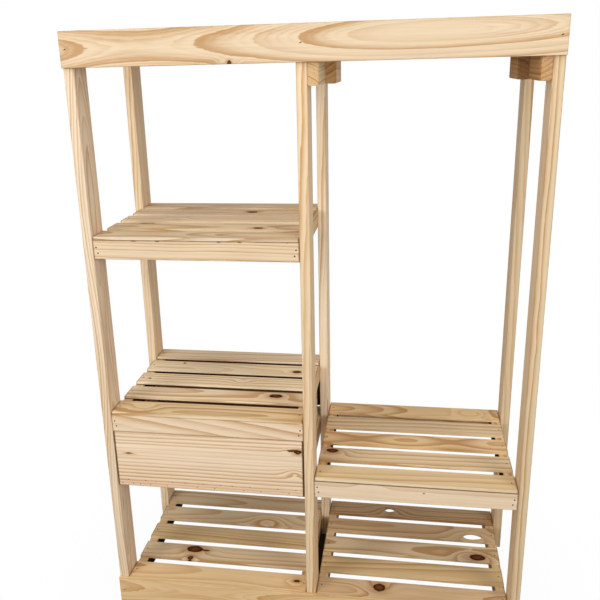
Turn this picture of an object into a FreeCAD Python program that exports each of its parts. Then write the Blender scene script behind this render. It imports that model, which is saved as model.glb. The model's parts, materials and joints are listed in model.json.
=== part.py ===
import FreeCAD, Part
import os

from FreeCAD import Vector

# An open-front pine wardrobe: six posts carry slatted shelves, a drawer and a hanging rod.
# Sizes are in millimetres. X runs across the front, Y from front to back and Z up from the floor.
# The origin is on the floor, under the middle of the whole wardrobe.

# The frame
overall_width = 1220.0
frame_depth = 488.0
post_height = 1717.0
post_width = 28.0
post_depth = 78.0
timber_rounding = 3.0

# Rails laid over the fronts of the posts, at the top and at the floor
rail_thickness = 9.0
rail_height = 89.0

# Slatted shelves: slats lie on two cleats, with an apron under the front and the rear slat
slat_count = 5
slat_width = 76.0
slat_thickness = 9.0
slat_end_gap = 2.0
cleat_width = 28.0
cleat_height = 54.0
apron_thickness = 9.0
apron_height = 54.0
apron_end_gap = 1.0
board_ease = 1.5

# Heights of the shelf tops above the floor
seat_level = 487.0
lower_shelf_level = 666.0
upper_shelf_level = 1191.0

# Two knots have fallen out of the bottom right shelf: one from its fourth slat, one from its rear slat
fourth_slat_hole_length = 66.0
fourth_slat_hole_width = 42.0
fourth_slat_hole_from_right = 75.0
fourth_slat_hole_from_edge = 27.0
rear_slat_hole_length = 39.0
rear_slat_hole_width = 32.0
rear_slat_hole_from_left = 211.0
rear_slat_hole_from_edge = 44.0
cut_overrun = 2.0

# Hanging rod, with a stretcher on the posts and a notched block at each end
stretcher_width = 28.0
stretcher_height = 78.0
stretcher_drop = 3.5
rod_block_width = 28.0
rod_block_length = 150.0
rod_block_setback = 155.0
rod_block_nail_inset = 30.0
rod_diameter = 25.0
rod_clearance = 0.4
rod_end_gap = 1.0
rod_notch_depth = 22.0

# Drawer under the lower shelf, riding on two runners
drawer_front_thickness = 9.0
drawer_front_height = 180.0
drawer_front_side_gap = 2.0
drawer_front_top_gap = 1.5
drawer_front_lip = 48.5
drawer_box_depth = 365.0
drawer_box_side_gap = 4.0
drawer_side_thickness = 9.0
drawer_side_step = 12.0
drawer_back_thickness = 9.0
drawer_bottom_thickness = 9.0
lip_batten_width = 20.0
lip_batten_height = 28.0
runner_width = 28.0
runner_height = 68.0
drawer_stop_gap = 0.5

# Wire nails, driven flush
nail_diameter = 2.2
nail_head_diameter = 5.0
nail_head_thickness = 1.0
short_nail_length = 30.0
long_nail_length = 40.0
rail_nail_drop = 44.0
slat_nail_inset = 12.0
apron_upper_nail_inset = 9.0
apron_upper_nail_drop = 21.0
apron_lower_nail_inset = 13.0
apron_lower_nail_drop = 37.0
timber_nail_margin = 16.0
post_nail_shares = (0.25, 0.75)

# Smaller nails in the drawer
drawer_nail_diameter = 1.6
drawer_nail_head_diameter = 3.6
drawer_nail_head_thickness = 0.8
drawer_nail_length = 24.0
drawer_nail_low_row = 8.0
drawer_nail_low_shares = (0.022, 0.082, 0.121, 0.178, 0.268, 0.433, 0.528, 0.684, 0.775, 0.923)
drawer_nail_high_row = 20.0
drawer_nail_high_shares = (0.055, 0.151, 0.208, 0.300, 0.369, 0.467, 0.561, 0.623, 0.717, 0.864, 0.959)
drawer_back_nail_margin = 20.0

# Places that follow from the sizes above
along_x = Vector(1, 0, 0)
along_y = Vector(0, 1, 0)
along_z = Vector(0, 0, 1)
parallel_share = 0.9
half_width = overall_width / 2
overall_depth = frame_depth + rail_thickness
front = rail_thickness - overall_depth / 2
back = front + frame_depth
bay_width = half_width - post_width - post_width / 2
left_bay = post_width - half_width
right_bay = post_width / 2
slat_pitch = (frame_depth - slat_width) / (slat_count - 1)
slat_length = bay_width - 2 * slat_end_gap
bottom_level = rail_height
deck_level = post_height
stretcher_bottom = deck_level - slat_thickness - cleat_height - stretcher_drop - stretcher_height
drawer_front_top = lower_shelf_level - slat_thickness - apron_height - drawer_front_top_gap
drawer_front_bottom = drawer_front_top - drawer_front_height
runner_top = drawer_front_bottom + drawer_front_lip
drawer_floor = runner_top + drawer_bottom_thickness
drawer_side_top = drawer_front_top - drawer_side_step
drawer_box_front = front + drawer_front_thickness
drawer_box_back = front + drawer_box_depth


def long_edges(box, grain):
    """The edges of a box that run along the grain."""
    return [e for e in box.Edges if abs(e.tangentAt(e.FirstParameter).dot(grain)) > parallel_share]


def board(low, size, grain):
    """A thin sawn board from its low corner, with its four long edges planed off a little."""
    box = Part.makeBox(size.x, size.y, size.z, low)
    return box.makeChamfer(board_ease, long_edges(box, grain))


def timber(low, size, grain):
    """A thicker timber from its low corner, with its four long edges rounded."""
    box = Part.makeBox(size.x, size.y, size.z, low)
    return box.makeFillet(timber_rounding, long_edges(box, grain))


def nail(point, inward, length):
    """A wire nail whose head is flush with the face at the given point."""
    head = Part.makeCylinder(nail_head_diameter / 2, nail_head_thickness, point, inward)
    return head.fuse(Part.makeCylinder(nail_diameter / 2, length, point, inward))


def drawer_nail(point, inward):
    """A smaller nail of the drawer, flush with the face at the given point."""
    head = Part.makeCylinder(drawer_nail_head_diameter / 2, drawer_nail_head_thickness, point, inward)
    return head.fuse(Part.makeCylinder(drawer_nail_diameter / 2, drawer_nail_length, point, inward))


def save(node, solids):
    """Write one node, which is a single piece or a group of like pieces."""
    shape = solids[0] if len(solids) == 1 else Part.makeCompound(solids)
    shape.exportStep(os.path.join("parts", node + ".step"))


def post(x, y):
    """An upright from the floor to the top of the frame."""
    return timber(Vector(x, y, 0), Vector(post_width, post_depth, post_height), along_z)


def rail(bottom):
    """A wide thin board across the fronts of the posts."""
    low = Vector(-half_width, front - rail_thickness, bottom)
    return board(low, Vector(overall_width, rail_thickness, rail_height), along_x)


def rail_nails(bottom):
    """One nail through a rail into each front post."""
    height = bottom + rail_height - rail_nail_drop
    outer = half_width - post_width / 2
    places = [Vector(x, front - rail_thickness, height) for x in (-outer, 0, outer)]
    return [nail(place, along_y, short_nail_length) for place in places]


def slat_front(number):
    """The front edge of a slat, counted from one at the front of a shelf."""
    return front + (number - 1) * slat_pitch


def slat(bay, level, number):
    """One slat of a shelf."""
    low = Vector(bay + slat_end_gap, slat_front(number), level - slat_thickness)
    return board(low, Vector(slat_length, slat_width, slat_thickness), along_x)


def slat_nails(bay, level):
    """A nail at each end of each slat of a shelf, down into the cleat."""
    inset = slat_end_gap + slat_nail_inset
    places = [Vector(x, slat_front(n) + slat_width / 2, level)
              for x in (bay + inset, bay + bay_width - inset) for n in range(1, slat_count + 1)]
    return [nail(place, -along_z, short_nail_length) for place in places]


def cleats(bay, level, apron_room):
    """The two cleats of a shelf, which stop short of its aprons where it has them."""
    size = Vector(cleat_width, frame_depth - 2 * apron_room, cleat_height)
    bottom = level - slat_thickness - cleat_height
    return [timber(Vector(x, front + apron_room, bottom), size, along_y)
            for x in (bay, bay + bay_width - cleat_width)]


def timber_nails(bay, width, bottom, height):
    """Nails through a pair of timbers on the sides of a bay into their posts, staggered up and down."""
    heights = (bottom + height - timber_nail_margin, bottom + timber_nail_margin)
    nails = []
    for post_front in (front, back - post_depth):
        for share, z in zip(post_nail_shares, heights):
            y = post_front + share * post_depth
            nails.append(nail(Vector(bay + width, y, z), -along_x, long_nail_length))
            nails.append(nail(Vector(bay + bay_width - width, y, z), along_x, long_nail_length))
    return nails


def apron(bay, level, y, height):
    """A board on edge under the front or the rear slat of a shelf."""
    low = Vector(bay + apron_end_gap, y, level - slat_thickness - height)
    return board(low, Vector(bay_width - 2 * apron_end_gap, apron_thickness, height), along_x)


def apron_nails(bay, level, y, inward):
    """Two nails at each end of an apron, into the ends of the cleats."""
    top = level - slat_thickness
    nails = []
    for inset, drop in ((apron_upper_nail_inset, apron_upper_nail_drop),
                        (apron_lower_nail_inset, apron_lower_nail_drop)):
        for x in (bay + inset, bay + bay_width - inset):
            nails.append(nail(Vector(x, y, top - drop), inward, short_nail_length))
    return nails


def knot_hole(number, x, from_edge, length, width):
    """The oval hole that a lost knot leaves right through a slat of the bottom right shelf."""
    low = bottom_level - slat_thickness - cut_overrun
    centre = Vector(x, slat_front(number) + from_edge, low)
    oval = Part.Ellipse(centre, length / 2, width / 2).toShape()
    return Part.Face(Part.Wire(oval)).extrude(along_z * (slat_thickness + 2 * cut_overrun))


def rod_block(x):
    """A block on a stretcher, with a notch open at the top for the end of the rod."""
    low = Vector(x, front + rod_block_setback, stretcher_bottom)
    block = timber(low, Vector(rod_block_width, rod_block_length, stretcher_height), along_y)
    radius = rod_diameter / 2 + rod_clearance
    start = Vector(x - cut_overrun, rod_line.y, rod_line.z)
    length = rod_block_width + 2 * cut_overrun
    seat = Part.makeCylinder(radius, length, start, along_x)
    mouth = Part.makeBox(length, 2 * radius, rod_notch_depth, start - along_y * radius)
    return block.cut(seat.fuse(mouth))


def rod_block_nails(x, inward):
    """Two nails through a block into its stretcher, one before and one behind the notch."""
    low = front + rod_block_setback + rod_block_nail_inset
    high = front + rod_block_setback + rod_block_length - rod_block_nail_inset
    height = stretcher_bottom + stretcher_height / 2
    return [nail(Vector(x, y, height), inward, long_nail_length) for y in (low, high)]


os.makedirs("parts", exist_ok=True)
frame_nails = []

# Posts
post_columns = {"left": -half_width, "middle": -post_width / 2, "right": half_width - post_width}
post_rows = {"front": front, "rear": back - post_depth}
for column, x in post_columns.items():
    for row, y in post_rows.items():
        save(f"{column}_{row}_post", [post(x, y)])

# Rails
for name, bottom in (("top_front_rail", post_height - rail_height), ("bottom_front_rail", 0)):
    save(name, [rail(bottom)])
    frame_nails += rail_nails(bottom)

# Shelves with aprons, and the two bottom shelves, whose front the bottom rail covers.
# The rear apron over the drawer is as high as the drawer front, and closes the space behind the drawer.
shelves = {
    "upper_left_shelf": (left_bay, upper_shelf_level, apron_thickness),
    "lower_left_shelf": (left_bay, lower_shelf_level, apron_thickness),
    "seat_shelf": (right_bay, seat_level, apron_thickness),
    "bottom_left_shelf": (left_bay, bottom_level, 0),
    "bottom_right_shelf": (right_bay, bottom_level, 0),
}
slat_left = right_bay + slat_end_gap
slat_right = slat_left + slat_length
rear_hole_x = slat_left + rear_slat_hole_from_left
fourth_hole_x = slat_right - fourth_slat_hole_from_right
rear_knot_hole = knot_hole(slat_count, rear_hole_x, rear_slat_hole_from_edge,
                           rear_slat_hole_length, rear_slat_hole_width)
fourth_knot_hole = knot_hole(slat_count - 1, fourth_hole_x, fourth_slat_hole_from_edge,
                             fourth_slat_hole_length, fourth_slat_hole_width)
for shelf, (bay, level, apron_room) in shelves.items():
    for number in range(1, slat_count + 1):
        piece = slat(bay, level, number)
        if shelf == "bottom_right_shelf":
            piece = piece.cut(rear_knot_hole).cut(fourth_knot_hole)
        save(f"{shelf}_slat_{number}", [piece])
    save(f"{shelf}_cleats", cleats(bay, level, apron_room))
    frame_nails += slat_nails(bay, level)
    frame_nails += timber_nails(bay, cleat_width, level - slat_thickness - cleat_height, cleat_height)
    if apron_room:
        rear_height = drawer_front_height if shelf == "lower_left_shelf" else apron_height
        save(f"{shelf}_front_apron", [apron(bay, level, front, apron_height)])
        save(f"{shelf}_rear_apron", [apron(bay, level, back - apron_thickness, rear_height)])
        frame_nails += apron_nails(bay, level, front, along_y)
        frame_nails += apron_nails(bay, level, back, -along_y)

# Top deck, made like a shelf over both bays, behind the top rail
deck_slats = []
deck_cleats = []
for bay in (left_bay, right_bay):
    deck_slats += [slat(bay, deck_level, number) for number in range(1, slat_count + 1)]
    deck_cleats += cleats(bay, deck_level, 0)
    frame_nails += slat_nails(bay, deck_level)
    frame_nails += timber_nails(bay, cleat_width, deck_level - slat_thickness - cleat_height, cleat_height)
save("top_deck_slats", deck_slats)
save("top_deck_cleats", deck_cleats)

# Stretchers, blocks and hanging rod of the right bay
right_end = right_bay + bay_width
stretcher_size = Vector(stretcher_width, frame_depth, stretcher_height)
notch_bottom = stretcher_bottom + stretcher_height - rod_notch_depth
rod_line = Vector(right_bay + stretcher_width + rod_end_gap,
                  front + rod_block_setback + rod_block_length / 2,
                  notch_bottom + rod_clearance + rod_diameter / 2)
rod_length = bay_width - 2 * stretcher_width - 2 * rod_end_gap
left_block = right_bay + stretcher_width
right_block = right_end - stretcher_width - rod_block_width
save("left_rod_stretcher", [timber(Vector(right_bay, front, stretcher_bottom), stretcher_size, along_y)])
save("right_rod_stretcher",
     [timber(Vector(right_end - stretcher_width, front, stretcher_bottom), stretcher_size, along_y)])
save("left_rod_block", [rod_block(left_block)])
save("right_rod_block", [rod_block(right_block)])
save("hanging_rod", [Part.makeCylinder(rod_diameter / 2, rod_length, rod_line, along_x)])
frame_nails += timber_nails(right_bay, stretcher_width, stretcher_bottom, stretcher_height)
frame_nails += rod_block_nails(left_block + rod_block_width, -along_x)
frame_nails += rod_block_nails(right_block, along_x)

# Drawer runners, whose front ends stop the drawer when it is shut
runner_front = drawer_box_front + lip_batten_width + drawer_stop_gap
runner_size = Vector(runner_width, back - runner_front, runner_height)
save("drawer_runners", [timber(Vector(x, runner_front, runner_top - runner_height), runner_size, along_y)
                        for x in (left_bay, left_bay + bay_width - runner_width)])
frame_nails += timber_nails(left_bay, runner_width, runner_top - runner_height, runner_height)
save("frame_nails", frame_nails)

# Drawer: a front that hangs below the box, a box on a flat bottom, and a batten behind the foot of the front
drawer_front_left = left_bay + drawer_front_side_gap
drawer_front_width = bay_width - 2 * drawer_front_side_gap
box_left = left_bay + drawer_box_side_gap
box_width = bay_width - 2 * drawer_box_side_gap
box_depth = drawer_box_back - drawer_box_front
side_size = Vector(drawer_side_thickness, box_depth, drawer_side_top - drawer_floor)
back_left = box_left + drawer_side_thickness
back_width = box_width - 2 * drawer_side_thickness
back_front = drawer_box_back - drawer_back_thickness
right_side_x = back_left + back_width
front_size = Vector(drawer_front_width, drawer_front_thickness, drawer_front_height)
save("drawer_front", [board(Vector(drawer_front_left, front, drawer_front_bottom), front_size, along_x)])
save("drawer_bottom", [board(Vector(box_left, drawer_box_front, runner_top),
                             Vector(box_width, box_depth, drawer_bottom_thickness), along_x)])
save("drawer_left_side", [board(Vector(box_left, drawer_box_front, drawer_floor), side_size, along_y)])
save("drawer_right_side", [board(Vector(right_side_x, drawer_box_front, drawer_floor), side_size, along_y)])
save("drawer_back", [board(Vector(back_left, back_front, drawer_floor),
                           Vector(back_width, drawer_back_thickness, side_size.z), along_x)])
save("drawer_lip_batten", [board(Vector(box_left, drawer_box_front, drawer_front_bottom),
                                 Vector(box_width, lip_batten_width, lip_batten_height), along_x)])

# Drawer nails: an uneven zigzag along the foot of the front, and two at each end of the back
drawer_nails = []
for shares, row in ((drawer_nail_low_shares, drawer_nail_low_row),
                    (drawer_nail_high_shares, drawer_nail_high_row)):
    for share in shares:
        x = drawer_front_left + share * drawer_front_width
        drawer_nails.append(drawer_nail(Vector(x, front, drawer_front_bottom + row), along_y))
for z in (drawer_floor + drawer_back_nail_margin, drawer_side_top - drawer_back_nail_margin):
    y = drawer_box_back - drawer_back_thickness / 2
    drawer_nails.append(drawer_nail(Vector(box_left, y, z), along_x))
    drawer_nails.append(drawer_nail(Vector(box_left + box_width, y, z), -along_x))
save("drawer_nails", drawer_nails)
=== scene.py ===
# %% [markdown]
# An open-front pine wardrobe, dressed for a photograph.
# The frame that we load here is the measured construction: every post, slat and rail is a node of it, in metres.
# We keep its sizes, and put a finished board with real grain in place of each plain solid.

# %% Load the measured frame
import json
import math
import random
from functools import partialmethod

import bpy
from mathutils import Matrix, Vector


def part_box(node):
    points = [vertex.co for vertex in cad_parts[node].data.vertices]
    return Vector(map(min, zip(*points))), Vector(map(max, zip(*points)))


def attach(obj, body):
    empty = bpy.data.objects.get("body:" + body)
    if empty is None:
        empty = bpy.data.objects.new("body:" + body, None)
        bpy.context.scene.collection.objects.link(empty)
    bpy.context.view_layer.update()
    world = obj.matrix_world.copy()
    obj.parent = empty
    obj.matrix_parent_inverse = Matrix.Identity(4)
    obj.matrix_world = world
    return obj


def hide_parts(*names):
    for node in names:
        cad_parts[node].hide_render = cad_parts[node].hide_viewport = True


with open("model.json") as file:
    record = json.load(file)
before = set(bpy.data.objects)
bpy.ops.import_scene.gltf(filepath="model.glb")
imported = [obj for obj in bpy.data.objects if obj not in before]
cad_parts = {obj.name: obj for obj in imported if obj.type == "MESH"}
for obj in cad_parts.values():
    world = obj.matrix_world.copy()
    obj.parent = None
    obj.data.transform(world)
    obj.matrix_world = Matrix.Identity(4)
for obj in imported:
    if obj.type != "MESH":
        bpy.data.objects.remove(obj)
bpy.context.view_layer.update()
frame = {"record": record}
scene = bpy.context.scene
scene.view_settings.view_transform = "Standard"
slot_of = {row["node"]: row["material_slot"] for row in frame["record"]["subparts"]}
body_of = {node: body for body, nodes in frame["record"]["behaviour"]["bodies"].items() for node in nodes}

# %% [markdown]
# The camera stands a little right of the middle, at the eye height of a grown person, and looks slightly down.
# We could turn it with angles, but a matrix made from its three directions shows best what it does:
# one points right in the picture, one up, and one back towards the photographer.

# %% Camera
camera_place = Vector((0.2493, -2.0483, 1.6306))
yaw, pitch, roll = (math.radians(a) for a in (-9.365, -17.425, -1.529))
forward = Vector((math.sin(yaw) * math.cos(pitch), math.cos(yaw) * math.cos(pitch), math.sin(pitch)))
level_right = Vector((math.cos(yaw), -math.sin(yaw), 0))
level_up = level_right.cross(forward)
right = math.cos(roll) * level_right + math.sin(roll) * level_up
up = math.cos(roll) * level_up - math.sin(roll) * level_right
lens = bpy.data.cameras.new("camera")
lens.lens = 43.463
lens.sensor_width = 36
lens.shift_x = 0.0214
lens.shift_y = -0.0185
camera = bpy.data.objects.new("camera", lens)
camera.matrix_world = Matrix.Translation(camera_place) @ Matrix((right, up, -forward)).transposed().to_4x4()
scene.collection.objects.link(camera)
scene.camera = camera
print("camera looks along", [round(v, 3) for v in forward])

# %% [markdown]
# Node trees get long when each node takes five lines of code.
# This small helper adds a node, fills in its inputs and returns it, and knows how to join sums and products.
# An input may be a number or another node; the helper sees which one it is.
# Four short functions go with it: for a colour, for an empty material, for its surface and for a new object.

# %% Helpers for nodes, materials and objects


class Wiring:
    """Adds nodes to a tree and joins them up."""

    def __init__(self, tree):
        self.tree = tree

    def put(self, socket, value):
        """Fills an input with a plain value, an output of another node, or a node's first output."""
        if isinstance(value, bpy.types.Node):
            value = value.outputs[0]
        if isinstance(value, bpy.types.NodeSocket):
            self.tree.links.new(value, socket)
        else:
            socket.default_value = value

    def node(self, kind, inputs=None, **settings):
        made = self.tree.nodes.new(kind)
        for name, value in settings.items():
            setattr(made, name, value)
        for name, value in (inputs or {}).items():
            self.put(made.inputs[name], value)
        return made

    def math(self, operation, *values):
        return self.node("ShaderNodeMath", dict(enumerate(values)), operation=operation).outputs[0]

    plus = partialmethod(math, "ADD")
    minus = partialmethod(math, "SUBTRACT")
    times = partialmethod(math, "MULTIPLY")
    over = partialmethod(math, "DIVIDE")
    times_plus = partialmethod(math, "MULTIPLY_ADD")

    def vector(self, operation, *values):
        made = self.node("ShaderNodeVectorMath", dict(enumerate(values)), operation=operation)
        return made.outputs["Value" if operation == "LENGTH" else "Vector"]

    def scaled(self, vector, factor):
        made = self.node("ShaderNodeVectorMath", {0: vector, "Scale": factor}, operation="SCALE")
        return made.outputs["Vector"]

    def parts(self, vector):
        return self.node("ShaderNodeSeparateXYZ", {0: vector}).outputs

    def joined(self, x, y, z):
        return self.node("ShaderNodeCombineXYZ", {0: x, 1: y, 2: z}).outputs[0]

    def noise(self, place, detail=2.0):
        return self.node("ShaderNodeTexNoise", {"Vector": place, "Scale": 1.0, "Detail": detail}).outputs[0]

    def smooth(self, value, start, end, to_end=1.0, to_start=0.0):
        """A soft step: to_start where the value is before start, and to_end where it is past end."""
        ends = {"From Min": start, "From Max": end, "To Min": to_start, "To Max": to_end}
        made = self.node("ShaderNodeMapRange", {"Value": value, **ends}, interpolation_type="SMOOTHSTEP")
        return made.outputs[0]

    def mix(self, factor, first, second, blend="MIX"):
        """Blends two colours. A Mix node has its colours at inputs 6 and 7, and their blend at output 2."""
        inputs = {0: factor, 6: first, 7: second}
        return self.node("ShaderNodeMix", inputs, data_type="RGBA", blend_type=blend).outputs[2]

    def tinted(self, factor, first, tint):
        return self.mix(factor, first, tint, "MULTIPLY")


def colour(red, green, blue):
    """A colour as it looks on screen, from 0 to 255, in the linear values that shaders use."""
    shares = [value / 255 for value in (red, green, blue)]
    linear = [s / 12.92 if s <= 0.04045 else ((s + 0.055) / 1.055) ** 2.4 for s in shares]
    return (*linear, 1.0)


def empty_material(name):
    """A material without nodes, and the wiring for its tree."""
    material = bpy.data.materials.new(name)
    material.use_nodes = True
    material.node_tree.nodes.clear()
    return material, Wiring(material.node_tree)


def set_surface(w, shader):
    w.put(w.node("ShaderNodeOutputMaterial").inputs[0], shader)


def placed(name, data):
    """A new object in the scene."""
    made = bpy.data.objects.new(name, data)
    scene.collection.objects.link(made)
    return made


print("helpers ready")

# %% [markdown]
# Bare pine is pale, with darker bands where each year's growth ended, and all its figure comes from one thing:
# the board is a slice through a tree whose rings lie round a pith line.
# We could paint stripes, but then the face, the edge and the end grain would not agree.
# So the material works out how far each point is from the pith, in the board's own coordinates.
# Every board carries them, its pith line, its knots and its tint as attributes that the milling writes.

# %% What the pine reads from its board


class Board:
    """What the pine reads at a point of its board: where the point is, and the values that the milling wrote."""

    def __init__(self, w):
        self.w = w
        self.place = self.read("board")
        self.at = w.parts(self.place)
        self.half, self.pith, self.wave, self.bend = (
            w.parts(self.read(which)) for which in ("half", "pith", "wave", "bend"))
        self.from_top = w.minus(self.half[1], self.at[1])
        self.seed, self.spacing, self.contrast = w.parts(self.read("traits"))
        self.seeds = w.joined(self.seed, w.times(self.seed, 1.7), w.times(self.seed, 0.6))

    def read(self, which, output="Vector"):
        return self.w.node("ShaderNodeAttribute", attribute_name=which).outputs[output]

    def noise(self, along, across, detail=2.0):
        """Noise around zero, with its fineness along the grain and across it."""
        stretched = self.w.vector("MULTIPLY", self.place, (along, across, across))
        return self.w.minus(self.w.noise(self.w.vector("ADD", stretched, self.seeds), detail), 0.5)


print("board attributes can be read")

# %% [markdown]
# Rings bend round a knot, so each knot first pushes the points near it away from the pith.
# Then the distance is counted in rings. The whole number says which year it is, and the rest how late in
# that year: a year's wood starts pale and ends in a dark line.

# %% Rings
early_and_late = ((0.05, 0.02), (0.32, 0.07), (0.62, 0.42), (0.86, 0.90), (0.97, 1.0))
year_start, year_end, weakest_year = 0.12, 0.30, 0.22
bent_along, bent_across = 2.6, 1.7
lines_in_ring = 4.0


def grey(value):
    return (value, value, value, 1)


def knot_fields(board, ragged, which, stretch, reach):
    """How far a point is from a knot in knot radii, and how much the knot pushes the rings out."""
    w = board.w
    centre = w.parts(board.read(which))
    radius = centre[2]
    along, across = w.minus(ragged[0], centre[0]), w.minus(ragged[1], centre[1])
    near = w.vector("LENGTH", w.joined(w.over(along, stretch), across, 0.0))
    distance = w.over(near, radius)
    wide = w.vector("LENGTH", w.joined(w.over(along, stretch * bent_along), w.over(across, bent_across), 0.0))
    fall = w.math("POWER", w.over(wide, radius), 2.0)
    push = w.times(w.math("EXPONENT", w.times(fall, -1.0)), w.times(radius, reach))
    return distance, push


def rings_from_pith(board, pushes):
    """How many rings lie between a point and the pith line, which may lean, swing and wander."""
    w, at, pith, wave, bend = board.w, board.at, board.pith, board.wave, board.bend
    depth = w.plus(pith[1], w.times(pith[2], at[0]))
    swing = w.math("SINE", w.plus(w.times(at[0], wave[1]), wave[2]))
    depth = w.plus(depth, w.times(swing, wave[0]))
    centre = w.times_plus(bend[0], at[0], pith[0])
    from_pith = w.vector("LENGTH", w.joined(w.minus(at[1], centre), w.plus(at[2], depth), 0.0))
    feather = w.plus(w.times(board.noise(11, 60), 0.0024), w.times(board.noise(20, 330), 0.0016))
    from_pith = w.plus(from_pith, w.times_plus(board.noise(2.4, 9), bend[1], feather))
    for push in pushes:
        from_pith = w.plus(from_pith, push)
    ring = w.plus(w.over(from_pith, board.spacing), board.read("ring_phase", "Fac"))
    uneven = w.noise(w.joined(w.times(ring, 0.7), board.seed, 0.0), 0.0)
    return w.times_plus(w.minus(uneven, 0.5), bend[2], ring)


def late_wood(board, ring, fine_lines):
    """How dark the ring is at a point; some years are stronger than others, and so are some patches."""
    w = board.w
    ramp = w.node("ShaderNodeValToRGB", {0: w.math("FRACT", ring)})
    stops = ramp.color_ramp.elements
    stops[0].position, stops[0].color = 0.0, grey(year_start)
    stops[1].position, stops[1].color = 1.0, grey(year_end)
    for position, value in early_and_late:
        stops.new(position).color = grey(value)
    year = w.math("ROUND", w.plus(w.math("FLOOR", ring), board.seed))
    each_year = w.node("ShaderNodeTexWhiteNoise", {"W": year}, noise_dimensions="1D").outputs["Value"]
    strength = w.times(w.plus(each_year, weakest_year), board.contrast)
    patches = w.times_plus(board.noise(3.0, 22), 0.9, 1.0)
    late = w.times(w.times(ramp.outputs[0], strength), patches)
    if fine_lines:
        line = w.smooth(w.math("FRACT", w.times(ring, lines_in_ring)), 0.30, 0.95, fine_lines)
        late = w.plus(late, w.times(line, w.smooth(board.noise(2.0, 14), -0.10, 0.15)))
    return late


print("a year of growth has", len(early_and_late) + 2, "tones")

# %% [markdown]
# A knot is the root of a branch: reddish brown, ringed in itself, with a dark rim of bark and a halo in the wood.
# Along a board's edges are rubbed corners, here and there a lost chip, and painted light and shade:
# long edges and ends darkened as shade, a shadow line under an overhang, a shaded foot, a lit front edge.
# All of these darken or lighten the wood by a tint that is multiplied in.

# %% Knots and edges
knot_wood, knot_heart, knot_rim = colour(104, 62, 35), colour(130, 75, 41), colour(67, 38, 22)
knot_halos, knot_ring_pitch = (0.5, 0.5, 0.35), 17.0
pale_wood, ring_wood = colour(240, 216, 184), colour(203, 160, 112)
heart_tint, foot_tint = (0.88, 0.79, 0.67, 1), (0.93, 0.80, 0.72, 1)
painted_front_light_tint, painted_gap_shade_tint = (1.12, 1.22, 1.42, 1), (0.10, 0.07, 0.05, 1)
painted_top_shadow_tint, chip_tint = (0.26, 0.16, 0.10, 1), (0.28, 0.18, 0.11, 1)
worn_shaded_edge_tint, end_shade_tint = (0.50, 0.36, 0.24, 1), (0.22, 0.14, 0.09, 1)
end_pores, end_fibres = (0.62, 0.48, 0.36, 1), (1.0, 0.90, 0.74, 1)


def knotted(w, wood, distances):
    """The wood with its knots and its streak drawn in, and a mask of them. A swirl only bends the rings."""
    mask = 0.0
    for distance, halo in zip(distances, knot_halos):
        wood = w.tinted(w.smooth(distance, 2.6, 0.9, halo), wood, ring_wood)
        rings = w.times_plus(w.math("SINE", w.times(distance, knot_ring_pitch)), 0.5, 0.5)
        inside = w.mix(w.smooth(distance, 0.15, 0.50), knot_heart, knot_wood)
        inside = w.mix(w.times(rings, 0.35), inside, knot_rim)
        inside = w.mix(w.smooth(distance, 0.45, 0.80, 0.9), inside, knot_rim)
        within = w.smooth(distance, 1.08, 0.88)
        wood = w.mix(within, wood, inside)
        mask = w.math("MAXIMUM", mask, within)
    return wood, mask


def lit_shaded_and_chipped_edges(board, wood, painted_front_light, painted_foot_shade, painted_top_shadow, chips):
    """The wood with painted light on its front edge, painted shade at that edge's foot, a painted shadow line
    along its upper edge, and lost chips there.
    """
    w, at, from_top = board.w, board.at, board.from_top
    # Painted light: the front edge is made paler, as if lit from the front.
    if painted_front_light:
        front = w.smooth(w.plus(board.half[1], at[1]), 0.0016, 0.0008)
        wood = w.tinted(w.times(front, painted_front_light), wood, painted_front_light_tint)
        # Painted shade: the lower part of the front edge is darkened, as it faces the dark gap below.
        if painted_foot_shade:
            shaded_low_part = w.smooth(at[2], -0.0010, -0.0025)
            wood = w.tinted(w.times(front, shaded_low_part), wood, painted_gap_shade_tint)
    # Painted shadow: a dark line just under the upper edge, where the slat above overhangs.
    if painted_top_shadow:
        wood = w.tinted(w.smooth(from_top, 0.0042, 0.0020, painted_top_shadow), wood, painted_top_shadow_tint)
    if chips:
        top_edge = w.smooth(from_top, 0.0050, 0.0020, chips)
        chip = w.times(w.smooth(board.noise(34, 25), 0.08, 0.15), top_edge)
        wood = w.tinted(chip, wood, chip_tint)
    return wood


def worn_and_shaded_edges(board, wood, edge_wear_and_shade, end_shade, end_width):
    """The wood with its end grain, long edges darkened by wear and painted shade, and painted shade at its ends.
    """
    w = board.w
    gaps = [w.minus(board.half[axis], w.math("ABSOLUTE", board.at[axis])) for axis in range(3)]
    low, high = w.math("MINIMUM", gaps[0], gaps[1]), w.math("MAXIMUM", gaps[0], gaps[1])
    to_edge = w.math("MAXIMUM", low, w.math("MINIMUM", high, gaps[2]))
    end_face = w.smooth(gaps[0], 0.0006, 0.0002)
    speckle = w.noise(w.vector("MULTIPLY", board.place, (100, 900, 900)), 3.0)
    end_wood = w.mix(w.smooth(speckle, 0.35, 0.65), end_pores, end_fibres)
    wood = w.tinted(w.times(end_face, 0.9), wood, end_wood)
    # Painted shade along the long edges, mixed with their wear, and at the ends beside posts and gaps.
    wear_shade_mask = w.smooth(w.times_plus(board.noise(30, 120), 0.004, to_edge), 0.0030, 0.0006)
    wood = w.tinted(w.times(wear_shade_mask, edge_wear_and_shade), wood, worn_shaded_edge_tint)
    return w.tinted(w.smooth(gaps[0], end_width, end_width / 3, end_shade), wood, end_shade_tint)


print("knots have halos of", knot_halos)

# %% [markdown]
# Now the whole finish: rings, fibres, heartwood, the board's own tint, knots and edges, one over the other.
# Knots are left matt, because a shine on them looks grey.
# The boards differ in small ways and stand in different light, so the finish has options, some of them
# painted light and shade, and each kind of board gets its own material.

# %% Pine material
wood_shine, knot_raggedness = 0.2, 0.006
strip_slope, strip_top = -0.012, -0.070


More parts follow.
